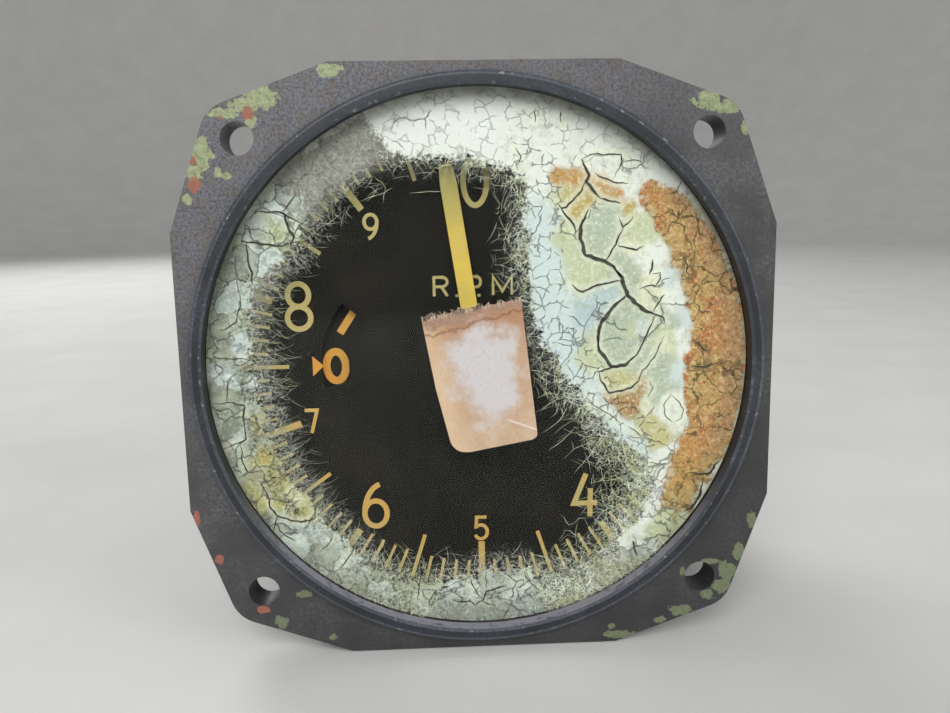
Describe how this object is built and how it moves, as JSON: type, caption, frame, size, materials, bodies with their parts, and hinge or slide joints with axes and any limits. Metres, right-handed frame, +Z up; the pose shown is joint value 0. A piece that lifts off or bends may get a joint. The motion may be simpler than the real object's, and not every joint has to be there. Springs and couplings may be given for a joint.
{
  "type": "aircraft tachometer",
  "caption": "Round aircraft tachometer with a square panel flange, a clouded window, a pointer dial with a thousands counter and a threaded flexible-shaft drive at the rear.",
  "frame": {"origin": "on the case axis, in the front face of the mounting flange, at the centre of the panel holes", "axes": "-Y out of the dial towards the reader, +X to the reader's right, +Z up"},
  "size_m": [0.082, 0.0676, 0.082],
  "materials": {
    "case_paint": "worn black stove paint on a light casting",
    "bezel_paint": "worn black paint with a slight blue sheen",
    "pane_glass": "clear polished glass",
    "film": "crazed and whitened window interlayer",
    "gasket_rubber": "hardened black rubber",
    "dial_paint": "matt black dial with plain printed figures",
    "spacer_paint": "matt black",
    "pointer_paint": "aged yellow paint",
    "card_paint": "matt black card with plain orange figures",
    "steel": "turned steel",
    "screw_steel": "blackened steel",
    "movement_brass": "lacquered brass",
    "bronze": "bearing bronze",
    "jewel": "polished synthetic jewel",
    "cup_aluminium": "spun aluminium",
    "magnet_iron": "cast magnet alloy",
    "field_iron": "soft iron",
    "spring_steel": "blued spring steel",
    "nipple_steel": "dull plated steel",
    "fibre": "brown gasket fibre",
    "tag_paper": "stained buff paper"
  },
  "bodies": {
    "housing": {"case": "case_paint", "bezel_ring": "bezel_paint", "front_pane": "pane_glass", "interlayer": "film", "rear_pane": "pane_glass", "glass_gasket": "gasket_rubber", "dial_spacer": "spacer_paint", "dial": "dial_paint", "dial_feet": "movement_brass", "pointer_bushes": "jewel", "counter_stud": "steel", "counter_clip": "steel", "front_plate": "movement_brass", "front_plate_screws": "screw_steel", "movement_screws": "screw_steel", "pillars": "movement_brass", "bridge": "movement_brass", "bridge_posts": "movement_brass", "bridge_screws": "screw_steel", "rear_plate": "movement_brass", "rear_plate_screws": "screw_steel", "cup_bushes": "jewel", "stop_posts": "steel", "hairspring": "spring_steel", "hairspring_stud": "movement_brass", "field_ring": "field_iron", "front_shaft_bush": "bronze", "rear_shaft_bush": "bronze", "drive_nipple": "nipple_steel", "nipple_nut": "nipple_steel", "rear_cover": "case_paint", "rear_gasket": "fibre", "rear_screws": "screw_steel", "paper_tag": "tag_paper"},
    "drive": {"input_shaft": "steel", "magnet": "magnet_iron", "magnet_hub": "movement_brass"},
    "cup": {"drag_cup": "cup_aluminium", "cup_arbor": "steel", "cup_wheel": "movement_brass", "stop_pin": "steel", "hairspring_collet": "movement_brass"},
    "hand": {"pointer": "pointer_paint", "pointer_arbor": "steel"},
    "counter": {"counter_card": "card_paint", "counter_wheel": "movement_brass"}
  },
  "joints": [
    {"name": "cup_turn", "type": "hinge", "parent": "housing", "child": "cup", "pos_m": [0, 0.016, -0.01312], "axis": [0, -1, 0], "range_deg": [0, 241.4], "stiffness_Nm_per_rad": 0.0002, "deforming": ["hairspring"]},
    {"name": "pointer_turn", "type": "hinge", "parent": "housing", "child": "hand", "pos_m": [0, 0.012, 0], "axis": [0, 1, 0], "range_deg": [0, 1448.4]},
    {"name": "counter_turn", "type": "hinge", "parent": "housing", "child": "counter", "pos_m": [-0.00962, 0.009, 0], "axis": [0, -1, 0], "range_deg": [0, 144.84]},
    {"name": "drive_spin", "type": "hinge", "parent": "housing", "child": "drive", "pos_m": [0, 0.04, -0.01312], "axis": [0, 1, 0], "continuous": true}
  ],
  "couplings": [
    {"joint": "pointer_turn", "follows": "cup_turn", "ratio": 6},
    {"joint": "counter_turn", "follows": "cup_turn", "ratio": 0.6}
  ]
}
